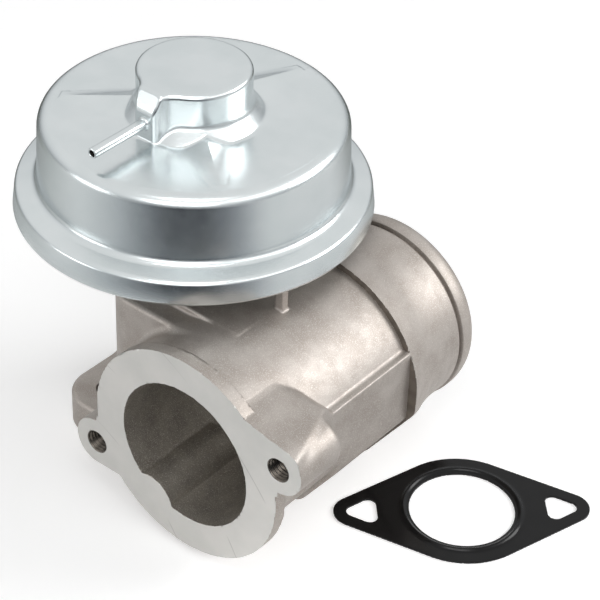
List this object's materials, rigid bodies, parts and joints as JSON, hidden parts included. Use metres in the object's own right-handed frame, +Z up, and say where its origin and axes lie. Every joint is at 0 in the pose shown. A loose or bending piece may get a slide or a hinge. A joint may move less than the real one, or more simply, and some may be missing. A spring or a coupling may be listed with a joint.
{
  "type": "egr valve",
  "caption": "Vacuum-operated exhaust gas recirculation valve: pressed steel diaphragm capsule on a cast aluminium tube with a bolted intake flange and a hose spigot, and a loose gasket.",
  "frame": {"origin": "centre of the exhaust inlet, on the underside of the lower flange, level with the floor", "axes": "+Z up along the valve stem, -Y out of the intake flange, +X from the stem towards the main tube"},
  "size_m": [0.2024, 0.1212, 0.1362],
  "materials": {
    "cast_aluminium": "cast",
    "zinc_plate": "zinc plated",
    "steel": "plain",
    "heat_steel": "heat tinted",
    "bronze": "plain",
    "black_rubber": "matt",
    "brown_rubber": "matt",
    "grey_fibre": "matt",
    "black_coated_steel": "thin rubber coating"
  },
  "bodies": {
    "base": {"housing": "cast_aluminium", "upper_cover": "zinc_plate", "vacuum_nipple": "zinc_plate", "lower_cover": "zinc_plate", "insulating_gasket": "grey_fibre", "capsule_screws": "zinc_plate", "valve_seat": "heat_steel", "guide_bush": "bronze", "soot_shield": "heat_steel", "stem_seal": "brown_rubber", "seal_retainer": "steel", "diaphragm": "black_rubber", "spring_seat": "steel", "return_spring": "steel", "egr_gasket": "black_coated_steel"},
    "valve": {"valve_stem": "steel", "poppet": "heat_steel", "shoulder_washer": "steel", "backing_plate": "zinc_plate", "diaphragm_cup": "zinc_plate", "clamp_washer": "steel", "clamp_nut": "zinc_plate"}
  },
  "joints": [
    {"name": "valve_lift", "type": "slide", "parent": "base", "child": "valve", "axis": [0, 0, 1], "range_m": [0, 0.0055], "stiffness_N_per_m": 3000, "springref_m": -0.004, "deforming": ["return_spring", "diaphragm"]}
  ]
}
